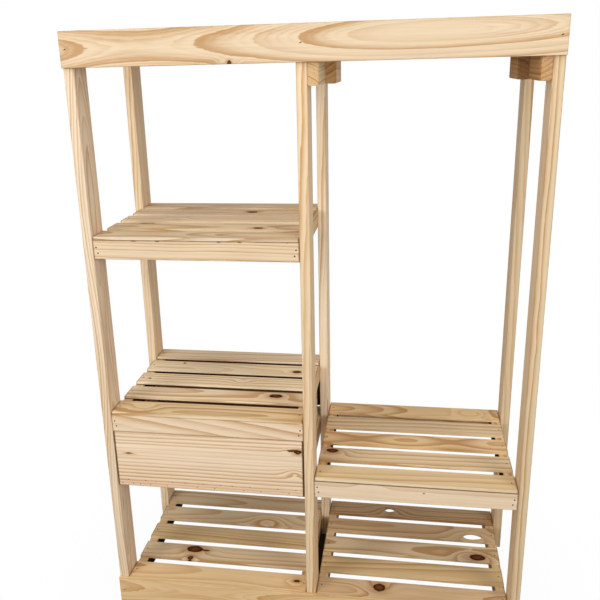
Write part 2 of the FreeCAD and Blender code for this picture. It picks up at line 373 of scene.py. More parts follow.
def pine(name, edge_wear_and_shade, end_shade=0.0, end_width=0.0045, foot_strip=False, painted_side_shading=None, inner_side=1.0,
         painted_front_light=0.0, painted_foot_shade=False, painted_top_shadow=0.0, chips=0.0, second_stretch=1.10, fine_lines=0.0):
    """A pine finish that reads the board it is on.

    seam sets the long edges' darkening, wear and painted shade; end_shade the painted shade at the ends,
    and end_width how far in it reaches.
    painted_side_shading paints shading on the side that inner_side points to: shade below one, light above one.
    second_stretch says how long the second knot is.
    The other options are strengths of what they name, or switches for it. painted_front_light is painted light on
    a front edge, painted_foot_shade painted shade at its foot, and painted_top_shadow a painted shadow line along
    the upper edge.
    """
    material, w = empty_material(name)
    board = Board(w)
    at, noise = board.at, board.noise
    rag = w.scaled(w.joined(noise(60, 160), noise(60, 190), 0.0), knot_raggedness)
    ragged = w.parts(w.vector("ADD", board.place, rag))
    # Each kind has its attribute, its length for its width, and how far it pushes the rings
    kinds = (("knot_1", 1.65, 1.8), ("knot_2", second_stretch, 1.8), ("streak", 5.0, 0.6), ("swirl", 1.3, 1.8))
    distances, pushes = zip(*(knot_fields(board, ragged, *kind) for kind in kinds))
    late = late_wood(board, rings_from_pith(board, pushes), fine_lines)
    wood = w.mix(late, pale_wood, ring_wood)

    fibre = w.plus(w.times(noise(5, 210, 3.0), 0.22), w.times(noise(40, 1500), 0.10))
    wood = w.tinted(w.smooth(noise(1.5, 13), 0.02, 0.24, 0.70), wood, heart_tint)
    shade = w.plus(w.plus(fibre, w.times(noise(2.0, 8), 0.16)), 1.0)
    wood = w.tinted(1.0, wood, w.joined(shade, w.math("POWER", shade, 1.15), w.math("POWER", shade, 1.4)))
    wood = w.tinted(1.0, wood, board.read("tint", "Color"))
    if foot_strip:
        below_strip = w.minus(w.times_plus(at[0], strip_slope, strip_top), at[1])
        wood = w.tinted(w.smooth(below_strip, -0.001, 0.001, 0.55), wood, foot_tint)

    wood, knot = knotted(w, wood, distances)
    shine = w.times_plus(knot, -wood_shine, wood_shine)
    # Painted shade: below its top few millimetres, the inner side is darkened by the side tint and loses its
    # shine.
    if painted_side_shading:
        below_top = w.smooth(board.from_top, 0.002, 0.006)
        inner_face = w.smooth(w.times_plus(at[2], -inner_side, board.half[2]), 0.004, 0.002)
        shadow = w.times(below_top, inner_face)
        wood = w.tinted(shadow, wood, (*painted_side_shading, 1.0))
        shine = w.times(shine, w.minus(1.0, shadow))
    wood = lit_shaded_and_chipped_edges(board, wood, painted_front_light, painted_foot_shade, painted_top_shadow, chips)
    wood = worn_and_shaded_edges(board, wood, edge_wear_and_shade, end_shade, end_width)

    height = w.plus(w.times(fibre, 2.2), w.times(late, 0.35))
    bump = w.node("ShaderNodeBump", {"Strength": 0.35, "Distance": 0.0006, "Height": height})
    rough = w.times_plus(noise(8, 90), 0.18, w.times_plus(late, -0.08, 0.62))
    set_surface(w, w.node("ShaderNodeBsdfPrincipled", {
        "Base Color": wood, "Roughness": rough, "Specular IOR Level": shine, "Normal": bump}))
    print(name, "has", len(w.tree.nodes), "nodes")
    return material


pine_board = pine("planed_pine", edge_wear_and_shade=0.60)
# The front aprons: a painted shadow line under the overhanging slat, and on the upper one lost chips.
pine_seat_apron = pine("planed_pine_seat_apron", edge_wear_and_shade=0.60, painted_top_shadow=0.8)
pine_chipped = pine("planed_pine_with_chips", edge_wear_and_shade=0.85, painted_top_shadow=0.35, chips=0.9)
pine_rail = pine("planed_pine_rail", edge_wear_and_shade=0.30, fine_lines=0.34)
pine_slat = pine("planed_pine_slat", edge_wear_and_shade=0.15, end_shade=0.4)
# Front slats: painted light on the front edge.
pine_lit_front_slat = pine("planed_pine_front_slat", edge_wear_and_shade=0.15, end_shade=0.4, painted_front_light=0.9)
# Lower left shelf slats: a little painted light on the front edge, and painted shade at its foot.
pine_shaded_slat = pine("planed_pine_shaded_slat", edge_wear_and_shade=0.15, end_shade=0.4, painted_front_light=0.3, painted_foot_shade=True)
pine_drawer = pine("planed_pine_with_foot_strip", edge_wear_and_shade=0.45, end_shade=1.0, end_width=0.0050, foot_strip=True,
                   second_stretch=6.0)
pine_timber = pine("sawn_pine_timber", edge_wear_and_shade=0.25)
# Painted shade on the inner sides of timbers: near black in the shadowed pair, a milder brown in the other pair.
left_and_right = (("left", 1.0), ("right", -1.0))
pine_shaded_cleats = [pine("shadowed_cleat_" + side, edge_wear_and_shade=0.25, painted_side_shading=(0.08, 0.055, 0.04), inner_side=sign)
               for side, sign in left_and_right]
pine_half_shaded_cleats = [pine("brown_cleat_" + side, edge_wear_and_shade=0.25, painted_side_shading=(0.82, 0.72, 0.60), inner_side=sign)
                   for side, sign in left_and_right]
# The right rod block's material paints its side lighter than its dark end, without shine.
pine_shaded_block = pine("brown_block", edge_wear_and_shade=0.25, painted_side_shading=(1.29, 1.32, 1.27), inner_side=-1.0)

# %% [markdown]
# A nail head is dull steel, a little rusty and dark in the dents.
# It is a few millimetres wide, so one noise for rust and one for scratches is plenty.

# %% Nail steel


def nail_steel(name, clean, rusty):
    material, w = empty_material(name)
    place = w.node("ShaderNodeTexCoord").outputs["Object"]
    rust = w.smooth(w.noise(w.scaled(place, 700.0), 3.0), 0.45, 0.7)
    scratch = w.noise(w.vector("MULTIPLY", place, (900, 4000, 900)), 2.0)
    bump = w.node("ShaderNodeBump", {"Strength": 0.3, "Distance": 0.0002, "Height": scratch})
    set_surface(w, w.node("ShaderNodeBsdfPrincipled", {
        "Base Color": w.mix(rust, clean, rusty), "Roughness": w.smooth(scratch, 0.3, 0.7, 0.7, 0.45),
        "Metallic": 0.3, "Normal": bump}))
    return material


dark_steel = nail_steel("dull_nail_steel", colour(48, 42, 37), colour(40, 26, 17))
rusty_steel = nail_steel("rusty_pin_steel", colour(120, 88, 62), colour(112, 66, 36))
print("nail finishes", dark_steel.name, rusty_steel.name)

# %% [markdown]
# Every board and timber of the wardrobe follows one rule: a rectangle with eased corners, pushed along its grain.
# A sawyer's mill does just that, so one Geometry Nodes tree mills them all from named sizes.
# A cutter may take a bite out of it, for a lost knot or for the notch that the rod lies in.
# The tree then writes down the board's own coordinates before it lays the board in its place.

# %% The board mill
finish_inputs = ("Half", "Pith", "Wave", "Bend", "Traits", "Tint", "Knot 1", "Knot 2", "Streak", "Swirl")
mill_step, corner_steps = 0.03, 3
drift_pace, drift_shares = 3.0, (0.0, 1.0, 0.6)
sharp_angle = math.radians(50)


def input_names(tree):
    return {item.name: item.identifier for item in tree.interface.items_tree if item.in_out == "INPUT"}


def geometry_tree(name, inputs):
    """A new tree that takes geometry and more named inputs: its wiring, and what it is given."""
    tree = bpy.data.node_groups.new(name, "GeometryNodeTree")
    for kind, names in (("Geometry", ["Geometry"]), *inputs):
        for given in names:
            tree.interface.new_socket(given, in_out="INPUT", socket_type="NodeSocket" + kind)
    tree.interface.new_socket("Geometry", in_out="OUTPUT", socket_type="NodeSocketGeometry")
    w = Wiring(tree)
    return w, w.node("NodeGroupInput").outputs


def finished_tree(w, given, geometry):
    """The tree, once it puts the finish on its geometry and hands it out."""
    finished = w.node("GeometryNodeSetMaterial", {"Geometry": geometry, "Material": given["Finish"]})
    w.put(w.node("NodeGroupOutput").inputs[0], finished)
    return w.tree


def board_mill():
    w, given = geometry_tree("board_mill", (
        ("Float", ("Length", "Width", "Thickness", "Ease", "Wander", "Ring Phase")),
        ("Vector", (*finish_inputs, "Place", "Turn")),
        ("Bool", ["Cut"]), ("Object", ["Cutter"]), ("Material", ["Finish"])))
    reach = w.times(given["Length"], 0.5)
    line = w.node("GeometryNodeCurvePrimitiveLine", {
        "Start": w.joined(w.times(reach, -1.0), 0.0, 0.0), "End": w.joined(reach, 0.0, 0.0)})
    steps = w.plus(w.over(given["Length"], mill_step), 2.0)
    path = w.node("GeometryNodeResampleCurve", {"Curve": line, "Count": steps})
    size = {"Width": given["Width"], "Height": given["Thickness"]}
    outline = w.node("GeometryNodeCurvePrimitiveQuadrilateral", size)
    corners = {"Curve": outline, "Count": corner_steps, "Radius": given["Ease"]}
    eased = w.node("GeometryNodeFilletCurve", corners, mode="POLY")
    swept = w.node("GeometryNodeCurveToMesh", {"Curve": path, "Profile Curve": eased, "Fill Caps": True})
    cutter = w.node("GeometryNodeObjectInfo", {"Object": given["Cutter"]})
    cut = w.node("GeometryNodeMeshBoolean", {"Mesh 1": swept, "Mesh 2": cutter.outputs["Geometry"]},
                 operation="DIFFERENCE", solver="EXACT")
    choice = {"Switch": given["Cut"], "False": swept, "True": cut}
    mesh = w.node("GeometryNodeSwitch", choice, input_type="GEOMETRY")

    position = w.node("GeometryNodeInputPosition").outputs[0]
    values = {"board": position, "ring_phase": given["Ring Phase"]}
    values.update({name.lower().replace(" ", "_"): given[name] for name in finish_inputs})
    for name, value in values.items():
        kind = "FLOAT" if name == "ring_phase" else "FLOAT_VECTOR"
        mesh = w.node("GeometryNodeStoreNamedAttribute", {"Geometry": mesh, "Name": name, "Value": value},
                      data_type=kind, domain="POINT")

    seed = w.parts(given["Traits"])[0]
    along = w.joined(w.times(w.parts(position)[0], drift_pace), seed, 0.0)
    drift = w.node("ShaderNodeTexNoise", {"Vector": along, "Scale": 1.0, "Detail": 1.0}).outputs["Color"]
    drift = w.vector("MULTIPLY", w.vector("SUBTRACT", drift, (0.5, 0.5, 0.5)), drift_shares)
    drift = w.scaled(drift, given["Wander"])
    bowed = w.node("GeometryNodeSetPosition", {"Geometry": mesh, "Offset": drift})
    turn = w.node("FunctionNodeEulerToRotation", {0: given["Turn"]})
    laid = w.node("GeometryNodeTransform", {"Geometry": bowed, "Translation": given["Place"], "Rotation": turn})
    angle = w.node("GeometryNodeInputMeshEdgeAngle").outputs[0]
    sharp = w.math("GREATER_THAN", angle, sharp_angle)
    edges = w.node("GeometryNodeSetShadeSmooth", {"Geometry": laid, "Selection": sharp, "Shade Smooth": False},
                   domain="EDGE")
    return finished_tree(w, given, edges)


mill = board_mill()
print("board mill inputs:", ", ".join(input_names(mill)))

# %% [markdown]
# One board comes out of the mill like this: the tree runs on an empty object, a Weighted Normal modifier keeps
# the broad faces flat beside the small eased edges, and the evaluated result becomes a plain mesh.
# Boards that belong to one node, such as a pair of cleats, are then joined into one piece.

# %% Milling one piece
turns = {"flat": (0.0, 0.0, 0.0), "on_edge": (math.pi / 2, 0.0, 0.0),
         "upright": (0.0, -math.pi / 2, 0.0), "front_to_back": (math.pi / 2, 0.0, math.pi / 2)}
axes = {"flat": (0, 1, 2), "on_edge": (0, 2, 1), "upright": (2, 1, 0), "front_to_back": (1, 2, 0)}
edge_wander = 0.0006


def run(tree, made, values):
    """Puts a tree on an object, with values for its named inputs."""
    modifier = made.modifiers.new(tree.name, "NODES")
    modifier.node_group = tree
    names = input_names(tree)
    for key, value in values.items():
        modifier[names[key]] = value


def plain_mesh(made):
    """The evaluated object as a plain mesh, without its modifiers."""
    seen = made.evaluated_get(bpy.context.evaluated_depsgraph_get())
    mesh = bpy.data.meshes.new_from_object(seen)
    mesh.name = made.name
    old = made.data
    made.modifiers.clear()
    made.data = mesh
    bpy.data.meshes.remove(old)
    return made


def milled(name, low, high, lay, look, ease, cutter=None, material=None):
    """One board that fills the box from low to high, with its grain as it is laid."""
    size = [(high - low)[axis] for axis in axes[lay]]
    values = {"Length": size[0], "Width": size[1], "Thickness": size[2], "Half": [s / 2 for s in size],
              "Ease": ease, "Wander": edge_wander, "Place": (low + high) / 2, "Turn": turns[lay],
              "Finish": material or pine_board, **look}
    if cutter:
        values.update({"Cut": True, "Cutter": cutter})
    made = placed(name, bpy.data.meshes.new(name))
    run(mill, made, values)
    made.modifiers.new("flat_faces", "WEIGHTED_NORMAL").keep_sharp = True
    return plain_mesh(made)


def joined_piece(name, pieces):
    """Several boards as one piece."""
    if len(pieces) > 1:
        with bpy.context.temp_override(active_object=pieces[0], selected_editable_objects=pieces):
            bpy.ops.object.join()
    pieces[0].name = name
    return pieces[0]


def hand_over(piece, node):
    """The piece stands for a node: it moves with the node's body, and the node's plain solid is hidden."""
    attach(piece, body_of[node])
    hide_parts(node)


def whole_board(node, lay, look, ease, cutter=None, material=None):
    """One board for a whole node."""
    low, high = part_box(node)
    hand_over(milled(node + "_pine", low, high, lay, look, ease, cutter, material), node)


print("lays:", ", ".join(turns))

# %% [markdown]
# No two boards come from the same place in the tree. A seeded random choice gives each one its pith line,
# ring width and tint, and some get the figure that the photograph shows: a knot here, a long V of rings there.
# A knot is written as its place along and across the board and its radius, all in metres.
# A board without one has it far off its end, where it can't be seen.

# %% Choosing each board's figure
tints = {
    "cream": (1.0, 1.0, 1.0), "pale": (1.08, 1.09, 1.05), "straw": (0.94, 0.92, 0.82),
    "wheat": (0.84, 0.82, 0.74), "honey": (0.92, 0.87, 0.71), "amber": (0.90, 0.83, 0.63),
    "golden": (0.99, 0.89, 0.68), "brown": (0.80, 0.72, 0.59), "umber": (0.62, 0.53, 0.41),
    "bleached": (1.19, 1.24, 1.20), "tan": (0.88, 0.86, 0.78), "butter": (1.0, 0.97, 0.89),
    "walnut": (0.54, 0.43, 0.34), "chalk": (1.13, 1.20, 1.27), "milk": (1.01, 1.04, 1.08),
}
no_knot = (9.0, 0.0, 0.001)
rng = random.Random(11)
draw = rng.uniform


def figure(kind, **chosen):
    """The attributes of one board: a straight-grained one, or one with long Vs of rings on its face."""
    if kind == "straight":
        pith = (rng.choice((-1, 1)) * draw(0.09, 0.16), draw(0.05, 0.10), draw(-0.01, 0.01))
        wave = (draw(0.0, 0.003), draw(3.0, 6.0), draw(0.0, 6.3))
    else:
        pith = (draw(-0.02, 0.02), draw(0.022, 0.05), draw(-0.02, 0.02))
        wave = (draw(0.006, 0.014), draw(5.0, 10.0), draw(0.0, 6.3))
    traits = (draw(0.0, 60.0), draw(0.009, 0.015), draw(1.0, 1.4))
    bend = (draw(-0.03, 0.03), 0.010, 0.9)
    knots = dict.fromkeys(("Knot 1", "Knot 2", "Streak", "Swirl"), no_knot)
    return {"Pith": pith, "Wave": wave, "Bend": bend, "Traits": traits, "Ring Phase": rng.random(),
            "Tint": tints["cream"], **knots, **chosen}


def wider_rings(look, factor):
    """The same look with all its rings wider, or narrower, by a factor."""
    seed, spacing, contrast = look["Traits"]
    return {**look, "Traits": (seed, factor * spacing, contrast)}


print("tints:", ", ".join(tints))

# %% [markdown]
# Two knots have dropped out of the bottom right shelf. A lost knot leaves an oval hole with an uneven rim.
# Its cutter is an oval prism whose radius wavers a little, made a bit smaller than the space for it.

# %% Knot hole cutters


def prism(name, outline, reach=0.02):
    """A cutter through a board, from its outline in the board's own coordinates."""
    count = len(outline)
    points = [(x, y, z) for z in (-reach, reach) for x, y in outline]
    sides = [(i, (i + 1) % count, count + (i + 1) % count, count + i) for i in range(count)]
    mesh = bpy.data.meshes.new(name)
    mesh.from_pydata(points, [], [tuple(reversed(range(count))), tuple(range(count, 2 * count)), *sides])
    return placed(name, mesh)


def oval_cutter(name, along, across, length, width, wobble=0.05, count=28):
    """An uneven oval prism."""
    outline = []
    for step in range(count):
        angle = 2 * math.pi * step / count
        swell = 1 + wobble * (math.sin(2 * angle + 1.0) + 0.6 * math.sin(3 * angle + 2.2) - 1.6)
        x, y = swell * length / 2 * math.cos(angle), swell * width / 2 * math.sin(angle)
        outline.append((along + x, across + y))
    return prism(name, outline)


fourth_hole = oval_cutter("fourth_slat_hole", 0.207, -0.011, length=0.066, width=0.042)
rear_hole = oval_cutter("rear_slat_hole", -0.071, 0.006, length=0.039, width=0.032)
print("cutters:", fourth_hole.name, rear_hole.name)

# %% [markdown]
# The slats are the thin boards of each shelf. They lie flat, five to a shelf, on two cleats.
# Each is milled on its own, so that it keeps its own grain and its own knots.

# %% Slats
slat_ease, slat_ring_factor = 0.0015, 1.3
# Slat tints were matched to how bright each slat looks where it lies, so they hold the wood's own tone and painted
# shade too: the brown and umber slats of the bottom right shelf lie in shade.
slat_tints = {
    "upper_left_shelf": ("wheat", "straw", "pale", "cream", "straw"),
    "lower_left_shelf": ("honey", "pale", "bleached", "bleached", "pale"),
    "seat_shelf": ("honey", "straw", "golden", "straw", "golden"),
    "bottom_left_shelf": ("golden", "straw", "amber", "straw", "wheat"),
    "bottom_right_shelf": ("brown", "amber", "straw", "brown", "umber"),
}
slat_figures = {
    "upper_left_shelf": {
        2: {"Knot 1": (0.151, -0.016, 0.009), "Streak": (-0.187, 0.034, 0.005)},
        3: {"Swirl": (-0.120, 0.010, 0.012)},
        4: {"Knot 1": (0.089, -0.001, 0.011)},
    },
    "lower_left_shelf": {
        1: {"Swirl": (-0.196, 0.001, 0.013)},
        2: {"Knot 1": (0.181, 0.011, 0.0125)},
        3: {"Knot 1": (-0.248, -0.004, 0.003), "Swirl": (0.056, -0.004, 0.010)},
        4: {"Knot 1": (0.219, -0.013, 0.009), "Knot 2": (-0.169, 0.023, 0.004)},
    },
    "seat_shelf": {
        1: {"Pith": (0.10, 0.06, 0.0), "Wave": (0.003, 4.0, 0.0), "Bend": (0.04, 0.016, 0.9),
            "Traits": (21.0, 0.030, 0.8)},
        2: {"Pith": (0.10, 0.07, 0.0), "Wave": (0.003, 5.0, 1.0), "Bend": (0.02, 0.022, 0.9),
            "Traits": (24.0, 0.018, 1.1), "Knot 1": (-0.246, 0.019, 0.0115), "Swirl": (-0.246, 0.012, 0.014)},
        3: {"Pith": (0.004, 0.040, 0.0), "Wave": (0.0065, 22.4, -1.12), "Traits": (27.0, 0.014, 1.3),
            "Ring Phase": 0.14},
        4: {"Pith": (-0.10, 0.05, 0.0), "Wave": (0.004, 5.0, 2.0), "Bend": (0.03, 0.022, 0.9),
            "Traits": (29.0, 0.021, 1.3)},
        5: {"Pith": (0.002, 0.050, 0.0), "Wave": (0.020, 7.0, 0.87), "Traits": (31.0, 0.0114, 1.2),
            "Ring Phase": 0.85, "Swirl": (0.190, 0.004, 0.016)},
    },
    "bottom_left_shelf": {
        1: {"Knot 1": (0.248, 0.006, 0.006), "Swirl": (0.248, 0.004, 0.014)},
        2: {"Pith": (0.09, 0.06, 0.0), "Wave": (0.004, 5.0, 0.0), "Traits": (35.0, 0.016, 1.0),
            "Knot 1": (-0.111, 0.015, 0.0170), "Knot 2": (-0.114, -0.030, 0.009),
            "Streak": (-0.078, 0.013, 0.004)},
        4: {"Swirl": (0.105, -0.012, 0.018)},
    },
    "bottom_right_shelf": {
        1: {"Knot 2": (-0.094, 0.009, 0.0175)},
        2: {"Pith": (-0.10, 0.05, 0.0), "Wave": (0.004, 6.0, 2.0), "Bend": (0.08, 0.022, 0.9),
            "Traits": (43.0, 0.028, 1.4)},
        3: {"Pith": (0.0, 0.030, 0.0), "Wave": (0.012, 8.0, 2.6), "Traits": (52.0, 0.015, 1.6),
            "Ring Phase": 0.3, "Knot 1": (0.214, -0.018, 0.0155), "Swirl": (0.190, -0.014, 0.014)},
        4: {"Swirl": (0.207, -0.011, 0.022)},
        5: {"Pith": (0.09, 0.06, 0.0), "Wave": (0.003, 5.0, 4.0), "Traits": (61.0, 0.0115, 1.6),
            "Swirl": (-0.071, 0.006, 0.019)},
    },
}
slat_cutters = {"bottom_right_shelf_slat_4": fourth_hole, "bottom_right_shelf_slat_5": rear_hole}
slat_nodes = sorted(n for n in slot_of if "_shelf_slat_" in n)
for node in slat_nodes:
    shelf, number = node.split("_slat_")
    kind = rng.choice(("straight", "vee", "vee"))
    own = slat_figures[shelf].get(int(number), {})
    look = figure(kind, **{"Tint": tints[slat_tints[shelf][int(number) - 1]], **own})
    if "Traits" not in own:
        look = wider_rings(look, slat_ring_factor)
    # Front slats above the bottom shelves get a lit front edge; the rest of the lower left shelf a shaded foot
    # there.
    material = pine_shaded_slat if shelf == "lower_left_shelf" else pine_slat
    if number == "1" and not shelf.startswith("bottom"):
        material = pine_lit_front_slat
    whole_board(node, "flat", look, slat_ease, slat_cutters.get(node), material)
for cutter in slat_cutters.values():
    bpy.data.objects.remove(cutter)
print(len(slat_nodes), "slats")

# %% [markdown]
# The deck on top is laid like a shelf over both bays. Its slats are one node, so they become one piece.

# %% Top deck
post_width, slat_end_gap, slat_width, slat_count = 0.028, 0.002, 0.076, 5
low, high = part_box("top_deck_slats")
bay_ends = ((low.x, -post_width / 2 - slat_end_gap), (post_width / 2 + slat_end_gap, high.x))
slat_pitch = (high.y - low.y - slat_width) / (slat_count - 1)
fronts = [low.y + number * slat_pitch for number in range(slat_count)]
deck_boxes = [(Vector((left_end, front, low.z)), Vector((right_end, front + slat_width, high.z)))
              for left_end, right_end in bay_ends for front in fronts]
deck = []
for box in deck_boxes:
    look = figure(rng.choice(("straight", "vee")), Tint=tints["honey"])
    deck.append(milled("deck_slat", *box, "flat", look, slat_ease, material=pine_slat))
hand_over(joined_piece("top_deck_slats_pine", deck), "top_deck_slats")
print(len(deck_boxes), "deck slats")

# %% [markdown]
# Rails, aprons and the drawer's boards stand on edge. Their pale planed faces are what one sees first,
# so their figure follows the photograph most closely.

# %% Rails, aprons and drawer boards
board_ease = 0.0015
face_figures = {
    "top_front_rail": {
        "Pith": (0.0115, 0.040, 0.0), "Wave": (0.028, 4.2, 3.251), "Bend": (0.020, 0.002, 0.0),
        "Traits": (67.0, 0.013, 1.1), "Ring Phase": 0.77, "Knot 2": (-0.176, -0.041, 0.005),
        "Swirl": (-0.176, -0.046, -0.008), "Tint": (0.90, 0.895, 0.87)},
    "bottom_front_rail": {
        "Pith": (0.012, 0.036, 0.0), "Wave": (0.012, 6.0, 3.67), "Traits": (8.0, 0.012, 1.1),
        "Bend": (0.0, 0.004, 0.3), "Ring Phase": 0.15, "Tint": (0.95, 0.85, 0.65)},
    "upper_left_shelf_front_apron": {
        "Pith": (0.12, 0.03, 0.0), "Wave": (0.0, 3.0, 0.0), "Traits": (5.0, 0.010, 0.8),
        "Tint": (0.93, 0.92, 0.89)},
    "lower_left_shelf_front_apron": {
        "Pith": (-0.128, 0.05, 0.0), "Wave": (0.0, 4.0, 2.0), "Bend": (-0.16, 0.004, 0.9),
        "Traits": (9.0, 0.026, 0.8)},
    "seat_shelf_front_apron": {
        "Pith": (0.10, 0.03, 0.0), "Wave": (0.0, 6.0, 1.0), "Bend": (0.0, 0.006, 0.9),
        "Traits": (59.0, 0.030, 0.45), "Ring Phase": 0.84, "Knot 1": (0.027, 0.008, 0.0016),
        "Swirl": (-0.122, 0.020, 0.012)},
    "drawer_front": {
        "Pith": (0.20, 0.05, 0.004), "Wave": (0.002, 5.0, 0.5), "Traits": (627.0, 0.0115, 1.1),
        "Bend": (0.0, 0.006, 1.0), "Ring Phase": 0.0, "Tint": (1.05, 1.06, 1.09),
        "Knot 1": (0.267, 0.0555, 0.0072), "Knot 2": (-0.241, 0.020, 0.0020), "Streak": (0.251, 0.0590, 0.0030),
        "Swirl": (0.257, -0.012, 0.010)},
    # Painted shade: the drawer's back is tinted dark brown for the dark inside of the drawer.
    "drawer_back": {"Tint": (0.34, 0.25, 0.18)},
}
face_materials = {
    "top_front_rail": pine_rail, "bottom_front_rail": pine_rail, "drawer_front": pine_drawer,
    "upper_left_shelf_front_apron": pine_chipped, "seat_shelf_front_apron": pine_seat_apron,
    # Painted shade: the rear apron behind the drawer has its inner face darkened to near black.
    "lower_left_shelf_rear_apron": pine_shaded_cleats[0],
}
drawer_on_edge = ("drawer_front", "drawer_back", "drawer_lip_batten")
on_edge = [n for n in sorted(slot_of) if n.endswith(("_rail", "_apron")) or n in drawer_on_edge]
for node in on_edge:
    look = figure(rng.choice(("straight", "vee")), **face_figures.get(node, {}))
    whole_board(node, "on_edge", look, board_ease, material=face_materials.get(node))
drawer_lays = {"drawer_left_side": "front_to_back", "drawer_right_side": "front_to_back", "drawer_bottom": "flat"}
for node, lay in drawer_lays.items():
    whole_board(node, lay, figure("straight", Tint=tints["wheat"]), board_ease)
print(len(on_edge) + len(drawer_lays), "boards")

# %% [markdown]
# Posts stand upright; cleats, stretchers and runners run from front to back.
# They are sawn from thicker timber with rounder edges, and most of them show straight grain.

# %% Timbers
timber_ease, cross_width, post_ring_factor = 0.003, 0.028, 0.6
# Post tints were matched to how bright each post looks, so beside its own tone each holds painted light on the
# left posts and painted shade on the right ones.
post_tints = {"left_front_post": "milk", "left_rear_post": "pale", "middle_front_post": "butter",
              "middle_rear_post": "chalk", "right_front_post": "tan", "right_rear_post": "wheat"}
for node, tint in post_tints.items():
    kind = "vee" if node == "left_front_post" else "straight"
    look = wider_rings(figure(kind, Tint=tints[tint]), post_ring_factor)
    whole_board(node, "upright", look, timber_ease, material=pine_timber)


def side_pair(low, high):
    """The boxes of two timbers along the left and right sides of a bay."""
    left_high = Vector((low.x + cross_width, high.y, high.z))
    right_low = Vector((high.x - cross_width, low.y, low.z))
    return (low, left_high), (right_low, high)


def timbers(node, boxes, materials, tint):
    """One piece of timbers that run from front to back."""
    made = []
    for (low, high), material in zip(boxes, materials):
        look = figure("straight", Tint=tints[tint])
        made.append(milled(node + "_one", low, high, "front_to_back", look, timber_ease, material=material))
    hand_over(joined_piece(node + "_pine", made), node)


for node in sorted(n for n in slot_of if n.endswith(("_shelf_cleats", "_runners"))):
    # Every cleat and runner gets painted shade on its inner sides; the bottom right shelf's is the milder one.
    materials = pine_half_shaded_cleats if node.startswith("bottom_right") else pine_shaded_cleats
    timbers(node, side_pair(*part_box(node)), materials, "honey")
low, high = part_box("top_deck_cleats")
left_bay = low, Vector((-post_width / 2, high.y, high.z))
right_bay = Vector((post_width / 2, low.y, low.z)), high
timbers("top_deck_cleats", side_pair(*left_bay) + side_pair(*right_bay), [pine_timber] * 4, "wheat")
timbers("left_rod_stretcher", [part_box("left_rod_stretcher")], [pine_timber], "straw")
# The right rod stretcher's brown tint and darkened inner side are painted shade under the deck.
timbers("right_rod_stretcher", [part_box("right_rod_stretcher")], pine_half_shaded_cleats[1:], "brown")
print(len(post_tints), "posts and the timbers between them")

# %% [markdown]
# The rod lies in two blocks. Each has a notch for an end of the rod, so its cutter is a slot with a round bottom.

# %% Rod blocks
rod_low, rod_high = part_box("hanging_rod")
rod_radius, rod_play, above_block = (rod_high.z - rod_low.z) / 2, 0.0004, 0.06
notch_radius = rod_radius + rod_play


def notch_cutter(block_low, block_high, count=16):
    """A slot with a round bottom, along the block's grain and up its height."""
    from_block = (rod_low + rod_high) / 2 - (block_low + block_high) / 2
    along, height = from_block.y, from_block.z
    angles = [math.pi * step / count for step in range(count + 1)]
    outline = [(along - notch_radius * math.cos(a), height - notch_radius * math.sin(a)) for a in angles]
    return prism("notch", [*outline, (along + notch_radius, above_block), (along - notch_radius, above_block)])


# The right rod block's walnut tint is painted shade under the deck.
blocks = (("left_rod_block", "golden", pine_timber), ("right_rod_block", "walnut", pine_shaded_block))
for node, tint, material in blocks:
    low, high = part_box(node)
    cutter = notch_cutter(low, high)
    whole_board(node, "front_to_back", figure("straight", Tint=tints[tint]), timber_ease, cutter, material)
    bpy.data.objects.remove(cutter)
print("rod blocks with notches", round(2 * notch_radius, 4), "m wide")

# %% [markdown]
# The hanging rod is a turned stick. A square timber with its corners rounded as far as they go is a rod,
# so the same mill can make it.

# %% Hanging rod
almost_round = rod_radius - 0.0001
whole_board("hanging_rod", "flat", figure("straight", Tint=tints["wheat"]), almost_round)
print("rod", round(rod_high.x - rod_low.x, 3), "m long")

# %% [markdown]
# Nails hold the wardrobe together, and only their heads show. Each head is a low, slightly tapered disc.
# A tree puts one on every point of a point list; each point carries the way its head faces.

# %% Nail heads
head_taper, head_stands_out = 0.82, 0.00015


def nail_tree():
    w, given = geometry_tree("nail_heads", (("Float", ("Head Radius", "Head Height")), ("Material", ["Finish"])))
    radius = given["Head Radius"]
    head = w.node("GeometryNodeMeshCone", {
        "Vertices": 12, "Radius Top": w.times(radius, head_taper), "Radius Bottom": radius,
        "Depth": given["Head Height"]})
    aim, shape = (w.node("GeometryNodeInputNamedAttribute", {"Name": name}, data_type="FLOAT_VECTOR").outputs[0]
                  for name in ("aim", "shape"))
    face = w.node("FunctionNodeAlignRotationToVector", {"Vector": aim}, axis="Z")
    wide, high, angle = w.parts(shape)
    spin = w.node("FunctionNodeAxisAngleToRotation", {"Axis": (0, 0, 1), "Angle": angle})
    turn = w.node("FunctionNodeRotateRotation", {"Rotation": face, "Rotate By": spin}, rotation_space="LOCAL")
    size = w.joined(wide, high, 1.0)
    points = w.node("GeometryNodeMeshToPoints", {"Mesh": given["Geometry"]})
    heads = w.node("GeometryNodeInstanceOnPoints", {
        "Points": points, "Instance": head, "Rotation": turn, "Scale": size})
    real = w.node("GeometryNodeRealizeInstances", {"Geometry": heads})
    return finished_tree(w, given, real)


def nail_heads(name, places, radius, height, finish):
    """One piece with a head at each place: a point on the wood, the way its face looks, and its shape and spin."""
    sunk = height - head_stands_out
    mesh = bpy.data.meshes.new(name)
    mesh.from_pydata([point - aim * sunk for point, aim, _ in places], [], [])
    for key, column in (("aim", 1), ("shape", 2)):
        store = mesh.attributes.new(key, "FLOAT_VECTOR", "POINT")
        store.data.foreach_set("vector", [v for place in places for v in place[column]])
    made = placed(name, mesh)
    run(nails, made, {"Head Radius": radius, "Head Height": height, "Finish": finish})
    return plain_mesh(made)


nails = nail_tree()
print("nail inputs:", ", ".join(input_names(nails)))

# %% [markdown]
# Where the nails go is set by what they hold: rails to posts, slats to cleats, aprons to the ends of cleats,
# and every cleat, stretcher and runner to its posts.

